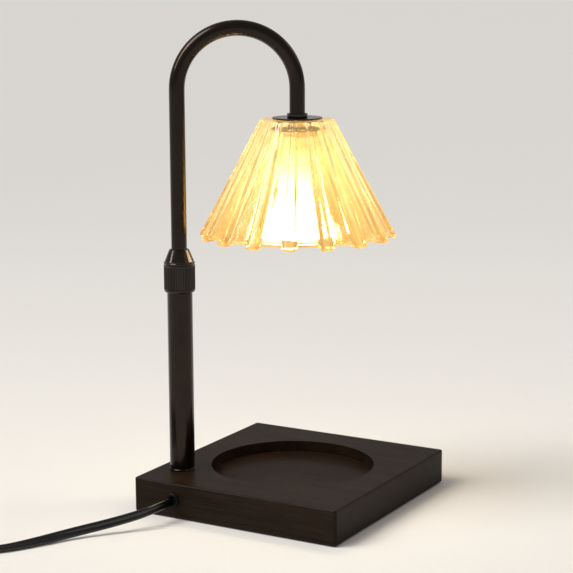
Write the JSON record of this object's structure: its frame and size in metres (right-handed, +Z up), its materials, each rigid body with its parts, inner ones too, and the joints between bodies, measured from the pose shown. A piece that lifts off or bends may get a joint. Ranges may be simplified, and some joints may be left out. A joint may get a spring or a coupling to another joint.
{
  "type": "candle warmer lamp",
  "caption": "Candle warmer lamp: square wooden base with a candle recess, crook pole of adjustable height, fluted glass shade over a reflector bulb, corded dimmer.",
  "frame": {"origin": "centre of the wooden base's footprint on the table, at the feet's undersides", "axes": "+Z up; X along the base's shorter side; -Y is the front face, where the cord leaves"},
  "size_m": [0.3477, 0.2895, 0.3198],
  "materials": {
    "dark_wood": "satin stained",
    "bronze_metal": "satin dark bronze lacquer",
    "steel": "plain",
    "brass": "plain",
    "black_rubber": "matt",
    "fibreboard": "matt black board",
    "black_pvc": "glossy",
    "nylon": "natural",
    "amber_glass": "pressed, clear",
    "ceramic": "glazed",
    "bulb_glass": "clear",
    "bulb_metal": "bright",
    "silicone": "matt",
    "lead_sleeve": "woven glass sleeve"
  },
  "bodies": {
    "base": {"base_block": "dark_wood", "base_cover": "fibreboard", "cover_screws": "steel", "rubber_feet": "black_rubber", "foot_plug": "bronze_metal", "pole_stud": "steel", "stud_washer": "steel", "stud_nut": "steel", "lower_tube": "bronze_metal", "split_sleeve": "nylon", "cord_tail": "black_pvc", "cord_bushing": "black_pvc", "cord_clamp": "steel", "clamp_screws": "steel", "terminal_block": "nylon", "terminal_screws": "brass", "base_lead": "lead_sleeve", "slack_lead": "lead_sleeve", "cord_run": "black_pvc", "cord_coil": "black_pvc", "dimmer_lower": "black_pvc", "dimmer_upper": "black_pvc", "dimmer_screws": "steel", "plug_body": "black_pvc", "plug_blades": "brass"},
    "collar": {"collar_nut": "bronze_metal"},
    "guide": {"guide_ring": "nylon"},
    "crook": {"arch_tube": "bronze_metal", "end_bush": "nylon", "guide_clip": "steel", "neck_ring": "bronze_metal", "head_disc": "bronze_metal", "head_nipple": "steel", "shade_gasket": "silicone", "shade_ring_nut": "brass", "glass_shade": "amber_glass", "holder_cap": "bronze_metal", "holder_body": "ceramic", "holder_contacts": "brass", "arch_lead": "lead_sleeve"},
    "bulb": {"bulb_body": "bulb_metal", "bulb_lens": "bulb_glass", "bulb_pins": "steel"},
    "wheel": {"dimmer_wheel": "black_pvc"}
  },
  "joints": [
    {"name": "collar_turn", "type": "hinge", "parent": "base", "child": "collar", "pos_m": [-0.0582, -0.0466, 0.154], "axis": [0, 0, 1], "range_deg": [0, 180]},
    {"name": "height", "type": "slide", "parent": "base", "child": "guide", "axis": [0, 0, 1], "range_m": [-0.05, 0.03], "deforming": ["slack_lead"]},
    {"name": "swivel", "type": "hinge", "parent": "guide", "child": "crook", "pos_m": [-0.0582, -0.0466, 0.1], "axis": [0, 0, 1], "range_deg": [-90, 90]},
    {"name": "bulb_twist", "type": "hinge", "parent": "crook", "child": "bulb", "pos_m": [0.00301, 0.00239, 0.2], "axis": [0, 0, 1], "range_deg": [-35, 0]},
    {"name": "dimmer_turn", "type": "hinge", "parent": "base", "child": "wheel", "pos_m": [-0.156, -0.1926, 0.0082], "axis": [0, 0, 1], "range_deg": [0, 300]}
  ]
}
